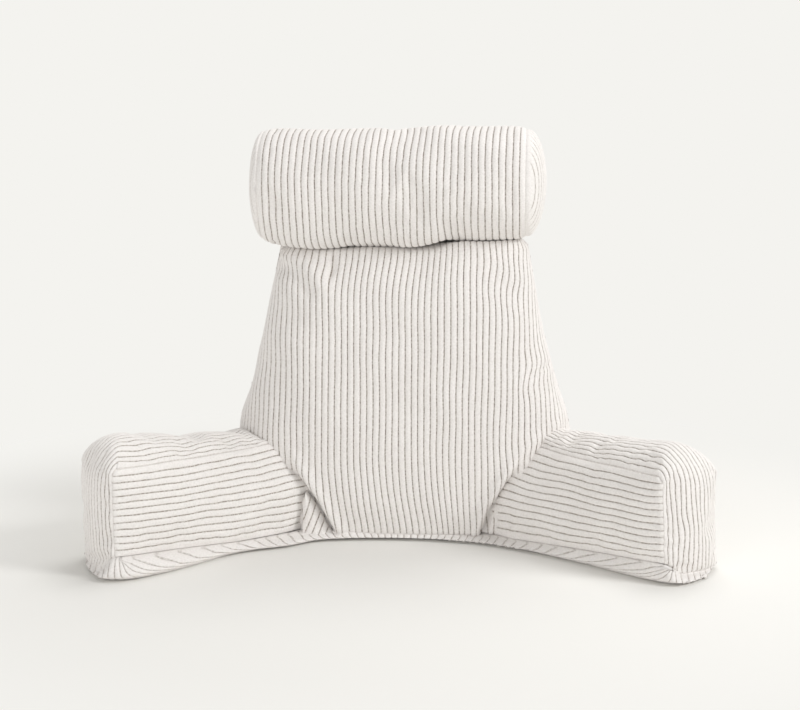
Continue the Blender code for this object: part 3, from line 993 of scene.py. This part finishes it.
def arm_point(name, along, side, up):
    """A point of the arm's block at three shares: root to tip, inner to outer side, foot to top."""
    corners = ARM_CORNERS[name]
    ends = []
    for end in ("root", "tip"):
        sides = []
        for which in ("inner", "outer"):
            foot_x, foot_y, top_x, top_y, top_z = corners[end, which]
            foot = np.array((foot_x, foot_y, 0.0))
            top = np.array((top_x, top_y, top_z))
            sides.append(foot + (top - foot) * up)
        ends.append(sides[0] + (sides[1] - sides[0]) * side)
    return ends[0] + (ends[1] - ends[0]) * along


def base_top(y):
    """The height of the base panel's upper side, which slopes up towards the sitter."""
    return BASE_THICKNESS + BASE_RISE * np.maximum(BASE_FOLD_Y - y, 0.0)


def foot_share(name, along, side):
    """How far up the arm's block the base panel's seam lies, as a share of the height."""
    rise = ARM_FOOT_RISE[name] * (1.0 - side) * (1.0 - float(fade(along, 0.12, 0.50)))
    rise -= ARM_END_DROP * float(fade(side, 0.0, 0.22) * fade(along, 0.90, 1.0))
    place = arm_point(name, along, side, 0.1)
    return (float(base_top(place[1])) + rise) / arm_point(name, along, side, 1.0)[2]


def arm_profile(name, side, swell):
    """The gusset's way over the top, round the corner and down the end, with its crowns' shares."""
    rounding = 0.30 + 0.70 * swell
    low = foot_share(name, 1.0, side)
    top = np.linspace(0.0, 1.0 - ARM_CORNER_SHARE, ARM_TOP_STEPS)
    steps = [(along, 1.0, 1.0, 0.0) for along in top]
    for turn in ARM_CORNER_TURNS:
        along = 1.0 - ARM_CORNER_SHARE * rounding * (1.0 - math.sin(turn))
        up = 1.0 - ARM_CORNER_DROP * rounding * (1.0 - math.cos(turn))
        steps.append((along, up, math.cos(turn), math.sin(turn)))
    steps += [(1.0, up, 0.0, 1.0) for up in np.linspace(ARM_END_TOP, low, ARM_END_STEPS)]
    return steps


def arm_swell(side):
    """How far the gusset swells between its two seams, from 0 to 1."""
    return (1.0 - (2.0 * side - 1.0) ** 2) ** 0.7


def arm_sides(name, wales):
    """Shares of the arm's width that lie one wale apart along the gusset's swollen cloth."""
    sides = np.linspace(0.0, 1.0, 400)
    width = np.linalg.norm(arm_point(name, 0.7, 1.0, 1.0) - arm_point(name, 0.7, 0.0, 1.0))
    run = np.hypot(np.diff(sides) * width, np.diff(arm_swell(sides)) * ARM_GUSSET_SWELL)
    run = np.concatenate(([0.0], np.cumsum(run)))
    return np.interp(np.linspace(0.0, run[-1], wales + 1), run, sides)


def arm_ring(name, side):
    """One wale of the gusset, and its way back through the filling above the foot."""
    root_crown, tip_crown, end_crown = ARM_CROWNS[name]
    swell = arm_swell(side)
    outwards = unit(arm_point(name, 1.0, side, 0.5) - arm_point(name, 0.8, side, 0.5))
    points = []
    for along, up, lift, push in arm_profile(name, side, swell):
        crown = root_crown + (tip_crown - root_crown) * along
        low = 1.0 - 0.10 * max(0.0, 0.30 - up) / 0.30
        point = arm_point(name, along, side, up) + np.array((0.0, 0.0, crown * swell * lift))
        points.append(point + outwards * end_crown * swell * push * low)
    points += [arm_point(name, along, side, foot_share(name, along, side)) for along in ARM_FOOT]
    return points


print("points on a ring of an arm:", len(arm_ring("arm_left", 0.5)))

# %% [markdown]
# A side panel is a cushion of its own, with wales along the arm. It lies on the block's side,
# crowned a little, and the inner one swells more where it meets the backrest.

# %% The arms' side panels
PANEL_POINTS = 40
PANEL_BACK = (0.99, 0.90, 0.76, 0.60, 0.44, 0.28, 0.14, 0.04)
PANEL_THICKNESS = 0.006
PANEL_REACH = 0.996
PANEL_CORNER_FROM, PANEL_CORNER_HEIGHT, PANEL_CORNER_LENGTH = 0.932, 0.068, 0.038


def panel_normal(name, side, along, up):
    """The outward direction of the block's side at two shares, along and up."""
    run = arm_point(name, along + 0.05, side, up) - arm_point(name, along - 0.05, side, up)
    rise = arm_point(name, along, side, up + 0.05) - arm_point(name, along, side, up - 0.05)
    normal = unit(np.cross(run, rise))
    away = arm_point(name, along, side, up) - arm_point(name, along, 0.5, up)
    return normal * np.sign(np.dot(normal, away))


def panel_point(name, side, along, up, out):
    """A point at shares along and up the panel, and a distance out from the block's side."""
    low = foot_share(name, along, side)
    level = low + (1.0 - low) * up
    return arm_point(name, along, side, level) + panel_normal(name, side, along, level) * out


def panel_end(up):
    """How far along the arm the panel reaches at a height: its top corner is rounded."""
    corner = min(1.0, max(0.0, (up - PANEL_CORNER_FROM) / PANEL_CORNER_HEIGHT))
    return PANEL_REACH - PANEL_CORNER_LENGTH * (1.0 - math.sqrt(1.0 - corner**2))


def panel_ring(name, which, up):
    """One wale of a side panel: along its face to the tip, and back inside the arm."""
    side = 0.0 if which == "inner" else 1.0
    swell = 1.0 - (2.0 * up - 1.0) ** 4
    root_crown = float(smooth(PANEL_ROOT_CROWNS[name], up))
    ring = []
    end = panel_end(up)
    for along in np.linspace(0.02, end, PANEL_POINTS):
        rooted = 1.0 - float(fade(along, 0.12, 0.60)) if which == "inner" else 0.0
        crown = PANEL_CROWN * swell * (1.0 - rooted) + root_crown * rooted
        crown *= 1.0 - (along / end) ** 10
        ring.append(panel_point(name, side, along, up, PANEL_EDGE + crown))
    for along in PANEL_BACK:
        ring.append(panel_point(name, side, min(along, end), up, -PANEL_THICKNESS))
    return ring


print("points on a ring of a panel:", len(panel_ring("arm_left", "inner", 0.5)))

# %% [markdown]
# All three pieces of an arm are made the same way: cut, pinned at their seams, stuffed, and
# covered. A seam squeezes the pile, so the wales beside it show at a third of their height,
# and what lies inside the arm shows none.

# %% Make the arms
SEAM_RIB = 0.35


def make_arm(name, seed):
    """An arm's gusset and its two side panels."""
    stack = np.array([arm_ring(name, side) for side in arm_sides(name, ARM_TOP_WALES)])
    shown = stack.shape[1] - len(ARM_FOOT)
    pinned = pins(stack, 2, shown - 1)
    stack = stuffed(name, stack, shown - 1, pinned, cap=0.004, seed=seed)
    rib = np.ones(stack.shape[:2])
    rib[[0, -1]] = SEAM_RIB
    rib[:, shown:] = 0.0
    crease = ((ARM_CREASES[name], 0.0060, -0.0030),)
    cover = corduroy(name + "_cover", stack, shown - 1, rib, waver=0.22, creases=crease, seed=seed)
    belongs(cover, name)
    for which in ("inner", "outer"):
        label = f"{name}_{which}_panel"
        ups = np.linspace(0.0, PANEL_REACH, ARM_PANEL_WALES + 1)
        stack = np.array([panel_ring(name, which, up) for up in ups])
        pinned = pins(stack, 1, PANEL_POINTS - 1)
        stack = stuffed(label, stack, PANEL_POINTS - 1, pinned, spare=0.012, cap=0.0025, seed=seed + 1)
        rib = np.ones(stack.shape[:2])
        rib[[0, -1]] = SEAM_RIB
        rib[:, PANEL_POINTS - 1] = 0.6
        rib[:, PANEL_POINTS:] = 0.0
        cover = corduroy(label + "_cover", stack, PANEL_POINTS - 1, rib, waver=0.06, seed=seed + 1)
        belongs(cover, label)


make_arm("arm_left", 10)
make_arm("arm_right", 20)

# %% [markdown]
# The base panel is a flat cushioned sole. Its edge curls up over the filling to the seams of the
# arms, so from the front it shows as a band below them. Along the arms the band's wales lie
# nearly along the edge, as the bias of a slanted cut makes them.

# %% The line where the base panel is sewn on
def seam_points(name):
    """The seam from the outer corner of an arm's tip, round its end and along its inner panel."""
    end = [arm_ring(name, side)[-len(ARM_FOOT) - 1] for side in np.linspace(0.96, 0.04, 12)]
    return end + panel_ring(name, "inner", 0.0)[PANEL_POINTS - 1 :: -1]


SEAM = np.array(seam_points("arm_left") + seam_points("arm_right")[::-1])
SEAM[:, 0] = np.maximum.accumulate(SEAM[:, 0])
SEAM[:, 1] = np.minimum(SEAM[:, 1], 0.0335)
BAND_WALE = 0.0190
BAND_LEAN = 3.3
BAND_LIFT = 0.0045
BAND_CURL = 2.2
BAND_HEEL = 0.003
ARM_TIP_X = 0.345


def on_arm(x, start, low, high):
    """1 along the middle of an arm, fading to 0 at the backrest and at the tip."""
    return float(fade(abs(x), start, low) * (1.0 - fade(abs(x), high, ARM_TIP_X)))


def band_point(x, up):
    """A point of the band over the floor place x, at a share of the band's height."""
    height = float(np.interp(x, SEAM[:, 0], SEAM[:, 2]))
    x = x + math.copysign(BAND_LEAN, x) * on_arm(x, 0.0, 0.22, 0.25) * up * height
    x = float(np.clip(x, BASE_EDGES[0][0], BASE_EDGES[-1][0]))
    seam_y = float(np.interp(x, SEAM[:, 0], SEAM[:, 1]))
    seam_z = float(np.interp(x, SEAM[:, 0], SEAM[:, 2]))
    front = min(float(smooth(BASE_EDGES, x, 1)), seam_y - 0.001)
    curl = max(0.0, up - 0.3) / 0.7
    lift = BAND_LIFT * (1.0 - up) ** 3
    heel = BAND_HEEL * max(0.0, 0.2 - up) / 0.2
    y = front + (seam_y - front) * curl**BAND_CURL + heel
    return x, y, seam_z * up + lift


print("seam of the base panel:", len(SEAM), "points, up to", round(float(SEAM[:, 2].max()), 4), "m high")

# %% [markdown]
# One wale of the base is a closed ring too: along the floor, up the band to the seam, back
# under the filling and down behind. Along an arm the rings lie further apart, because the band
# crosses its wales at a slant. At the tips the panel's corner is tucked under, which puckers it.

# %% The base panel
TIP_ROUNDING = 0.020
TIP_MIDDLE = 0.010
FLOOR_SHARES = (0.0, 0.06, 0.18, 0.38, 0.62, 0.82, 0.94, 1.0)
BAND_SHARES = (0.07, 0.3, 0.55, 0.8, 1.0)
BASE_TURN = 10
BAND_DEPTH = 0.014
FULL_DEPTH = 0.045
REAR_CURVE = 0.009
REAR_SEAM = 0.0035


def base_slice(x):
    """One wale of the base, as a ring over the floor place x."""
    back = float(smooth(BASE_EDGES, x, 2))
    edge = [band_point(x, up) for up in BAND_SHARES]
    near = edge[0][1] + BAND_DEPTH
    room = min(1.0, (back - near) / FULL_DEPTH)
    low, seam = REAR_CURVE * room, REAR_SEAM * room
    far = back - low
    under = [(x, far - (far - near) * share, 0.0) for share in FLOOR_SHARES]
    last = back - seam
    first = min(float(np.interp(x, SEAM[:, 0], SEAM[:, 1])) + 0.004, last - 0.002)
    inner = float(np.clip(BASE_FOLD_Y, first + 0.4 * seam, last - 0.4 * seam))
    over = [first + (inner - first) * s for s in (0.12, 0.4, 1.0)]
    over += [inner + (last - inner) * s for s in (0.4, 0.8, 1.0)]
    over = [(x, y, float(base_top(y))) for y in over]
    tail = float(base_top(last))
    rear = [(x, back - 0.2 * seam, 0.8 * tail), (x, back, 0.45 * tail)]
    rear.append((x, back - 0.3 * low, 0.1 * tail))
    ring = np.array(under + edge + over + rear)
    gap = float(np.clip((BASE_EDGES[-1][0] - abs(x)) / TIP_ROUNDING, 0.0, 1.0))
    squeeze = 0.2 + 0.8 * math.sqrt(1.0 - (1.0 - gap) ** 2)
    ring[:, 2] = TIP_MIDDLE + (ring[:, 2] - TIP_MIDDLE) * squeeze
    return ring


places = [0.5 * WALE_PITCH]
while places[-1] < BASE_EDGES[-1][0]:
    slant = on_arm(places[-1], 0.09, 0.22, 0.29)
    places.append(places[-1] + WALE_PITCH + (BAND_WALE - WALE_PITCH) * slant)
places = np.array(places) * BASE_EDGES[-1][0] / places[-1]
base_stack = np.array([base_slice(x) for x in np.concatenate((-places[::-1], places))])
rib = np.zeros(base_stack.shape[1])
band = len(FLOOR_SHARES)
rib[band : band + len(BAND_SHARES)] = (0.4, 0.75, 0.75, 0.75, 0.3)
rib[-3:] = (0.6, 1.0, 0.7)
PUCKERS = (
    # short folds in the band, where the corner of the cover turns under
    (((-0.384, -0.104, 0.013), (-0.370, -0.134, 0.010), (-0.340, -0.150, 0.010)), 0.0028, -0.0045),
    (((-0.366, -0.138, 0.018), (-0.362, -0.146, 0.004)), 0.0025, -0.0030),
    (((-0.352, -0.148, 0.024), (-0.350, -0.156, 0.006)), 0.0025, -0.0030),
    (((0.340, -0.140, 0.022), (0.352, -0.142, 0.006)), 0.0028, -0.0035),
    (((0.372, -0.112, 0.016), (0.378, -0.112, 0.003)), 0.0025, -0.0035),
)
base = corduroy("base_cover", base_stack, BASE_TURN, rib, waver=0.15, creases=PUCKERS, seed=4)
belongs(base, "base_panel")

# %% [markdown]
# The neck roll is a stuffed tube whose wales run round it. Each wale is one ring, drawn in
# beside the seams at both ends, and pressed down over the backrest's front edge where the real
# roll sags. The whole roll lies a little turned and tilted, as in the photo.

# %% The neck roll
ROLL_POINTS = 60
ROLL_SEAM_DIP = 0.0015
ROLL_SEAM_WIDTH = 0.005


def roll_axis(x):
    """Depth and height of the neck roll's axis."""
    return ROLL_AXIS_Y + x * ROLL_YAW, float(smooth(ROLL_LINE, x, 1))


def tilted(points):
    """Points of the roll with their rings turned a little towards the left."""
    points = np.array(points, float)
    points[:, 0] += ROLL_RING_TILT * (points[:, 1] - ROLL_AXIS_Y - points[:, 0] * ROLL_YAW)
    return points


def roll_ring(x):
    """One wale round the roll, drawn in beside the seams."""
    axis_y, axis_z = roll_axis(x)
    edge = min(x - ROLL_SEAM_X[0], ROLL_SEAM_X[1] - x)
    turns = 2.0 * math.pi * np.arange(ROLL_POINTS) / ROLL_POINTS
    radius = roll_radius(x, turns) - ROLL_SEAM_DIP * math.exp(-edge / ROLL_SEAM_WIDTH)
    ys, zs = axis_y + radius * np.cos(turns), axis_z + radius * np.sin(turns)
    return tilted(np.stack((np.full(ROLL_POINTS, x), ys, zs), 1))


roll_stack = np.array([roll_ring(x) for x in np.linspace(*ROLL_SEAM_X, ROLL_WALES + 1)])
pinned = pins(roll_stack, 0, ROLL_POINTS)
ROLL_TURN = ROLL_POINTS // 2
roll_stack = stuffed("neck_roll", roll_stack, ROLL_TURN, pinned, spare=0.012, cap=0.002, seed=31)
belongs(corduroy("neck_roll_cover", roll_stack, ROLL_TURN, 1.0, waver=0.05, seed=31), "neck_roll")

# %% [markdown]
# A disc closes the roll at each end. It is cut from the same cloth with its wales upright, and
# domes over the filling. Its rings are upright slices, already as close as the fine ones, so
# the dome is drawn exactly. The wales fade out at the rim, where the seam squeezes them.

# %% The neck roll's ends
END_POINTS, END_BACK_POINTS = 48, 12
END_UPS = np.sin(np.linspace(-0.5, 0.5, END_POINTS) * math.pi)
END_INSET = 0.0010
END_GAP = 0.0004
END_THICKNESS = 0.006


def end_ring(seam, way, dome, share):
    """One upright slice of a disc: its dome from the bottom to the top, and back inside the roll."""
    axis_y, axis_z = roll_axis(seam)
    radius = float(smooth(ROLL_LINE, seam, 2)) - END_INSET
    tall = radius * math.sqrt(max(0.0, 1.0 - share**2))
    ring = []
    for up in END_UPS:
        swell = ((1.0 - share**2) * (1.0 - up**2)) ** 0.5
        out = seam + way * (END_GAP + dome * swell)
        ring.append((out, axis_y + radius * share, axis_z + tall * up))
    for up in np.linspace(0.96, -0.96, END_BACK_POINTS):
        behind = seam - way * END_THICKNESS
        ring.append((behind, axis_y + radius * share * 0.96, axis_z + tall * up))
    return tilted(ring)


for label, seam, dome, way, seed in (
    ("left", ROLL_SEAM_X[0], ROLL_DOMES[0], -1.0, 41),
    ("right", ROLL_SEAM_X[1], ROLL_DOMES[1], 1.0, 51),
):
    wales = round(2.0 * float(smooth(ROLL_LINE, seam, 2)) / WALE_PITCH)
    places = fine_places(wales)
    shares = 2.0 * places / wales - 1.0
    fine = np.array([end_ring(seam, way, dome, share) for share in shares])
    rim = np.sqrt(np.clip((1.0 - shares[:, None] ** 2) * (1.0 - END_UPS[None, :] ** 2), 0.0, 1.0))
    rib = np.zeros(fine.shape[:2])
    rib[:, :END_POINTS] = 0.85 * fade(rim, 0.05, 0.45)
    name = f"neck_roll_end_{label}"
    belongs(finished(name + "_cover", fine, END_POINTS - 1, places, rib, seed=seed), name)

# %% [markdown]
# The pillow is photographed on a seamless pale sweep, a floor that curves up into a backdrop.
# Its paper takes the shadow close to the pillow. Further out it fades into an even glow, as in
# a photo whose background is lit until it is nearly white.

# %% The sweep
PAPER_COLOUR = (0.85, 0.84, 0.81, 1.0)
PAPER_GLOW = (0.905, 0.896, 0.863, 1.0)
SWEEP_RADIUS = 1.2


def sweep():
    """The paper, from in front of the pillow up to the backdrop."""
    profile = [(-6.0, 0.0), (4.0, 0.0)]
    for turn in np.linspace(0.1, 1.57, 16):
        rise = SWEEP_RADIUS - SWEEP_RADIUS * math.cos(turn)
        profile.append((4.0 + SWEEP_RADIUS * math.sin(turn), rise))
    profile += [(5.2, 6.0)]
    points = [(x, y, z) for y, z in profile for x in (-8.0, 8.0)]
    faces = [(2 * i, 2 * i + 1, 2 * i + 3, 2 * i + 2) for i in range(len(profile) - 1)]
    mesh = bpy.data.meshes.new("studio_sweep")
    mesh.from_pydata(points, [], faces)
    mesh.shade_smooth()
    thing = place_in_scene("studio_sweep", mesh)
    paper = bpy.data.materials.new("studio_paper")
    paper.use_nodes = True
    tree = paper.node_tree
    shader = tree.nodes["Principled BSDF"]
    shader.inputs["Base Color"].default_value = PAPER_COLOUR
    shader.inputs["Roughness"].default_value = 0.9
    shader.inputs["Specular IOR Level"].default_value = 0.1
    desk = Desk(tree)
    place = desk.node("ShaderNodeTexCoord", output=OBJECT_PLACE)
    away = desk.node("ShaderNodeVectorMath", {"operation": "LENGTH"}, {0: place}, 1)
    glow = desk.node("ShaderNodeEmission", {}, {"Color": PAPER_GLOW})
    mixed = desk.node("ShaderNodeMixShader", {}, {0: desk.step(away, 0.40, 0.85), 2: glow})
    tree.links.new(shader.outputs[0], mixed.socket.node.inputs[1])
    tree.links.new(mixed.socket, tree.nodes["Material Output"].inputs["Surface"])
    mesh.materials.append(paper)
    return thing


studio = sweep()
print("faces of the sweep:", len(studio.data.polygons))

# %% [markdown]
# A large soft key from the right makes the gentle shadow to the left and lets every wale cast
# its own small shade. A wide front light and a high one fill the rest, and a pale world stands
# for the walls of the room.

# %% The lights
def area_light(name, place, target, size, power):
    """A round soft light at a place, aimed at the target."""
    lamp = bpy.data.lights.new(name, "AREA")
    lamp.shape = "DISK"
    lamp.size = size
    lamp.energy = power
    thing = bpy.data.objects.new(name, lamp)
    bpy.context.scene.collection.objects.link(thing)
    thing.location = place
    aim = (np.array(target) - np.array(place)).tolist()
    thing.rotation_euler = Vector(aim).to_track_quat("-Z", "Y").to_euler()


area_light("key", (2.5, -0.85, 1.75), (0.0, 0.0, 0.15), 1.0, 44.0)
area_light("front", (-1.3, -3.0, 0.8), (0.0, 0.0, 0.2), 2.4, 36.0)
area_light("top", (0.5, 1.1, 3.0), (0.0, 0.1, 0.0), 1.6, 30.0)
world = bpy.data.worlds.new("studio")
bpy.context.scene.world = world
world.use_nodes = True
walls = world.node_tree.nodes["Background"]
walls.inputs["Color"].default_value = (1.0, 0.99, 0.97, 1.0)
walls.inputs["Strength"].default_value = 0.44
print("lights:", [lamp.name for lamp in bpy.data.lights])

# %% [markdown]
# The photo looks a little down on the pillow and hardly from the side. A long lens from two
# metres away keeps the arms from looking larger than they are.

# %% The camera
camera = bpy.data.objects.new("camera", bpy.data.cameras.new("camera"))
bpy.context.scene.collection.objects.link(camera)
bpy.context.scene.camera = camera
turn, lift, distance = math.radians(2.5), math.radians(10.0), 1.98
target = Vector((0.0, -MIDDLE_Y, 0.255))
back = Vector((math.sin(turn) * math.cos(lift), -math.cos(turn) * math.cos(lift), math.sin(lift)))
camera.location = target + back * distance
camera.rotation_euler = (-back).to_track_quat("-Z", "Y").to_euler()
camera.data.lens = 70.0
camera.data.sensor_width = 36.0
bpy.context.scene.view_settings.view_transform = "Standard"
bpy.context.scene.view_settings.look = "None"
print("camera at", [round(c, 3) for c in camera.location])

# %% [markdown]
# The dressed pillow has to be as large as the solids that it stands for.
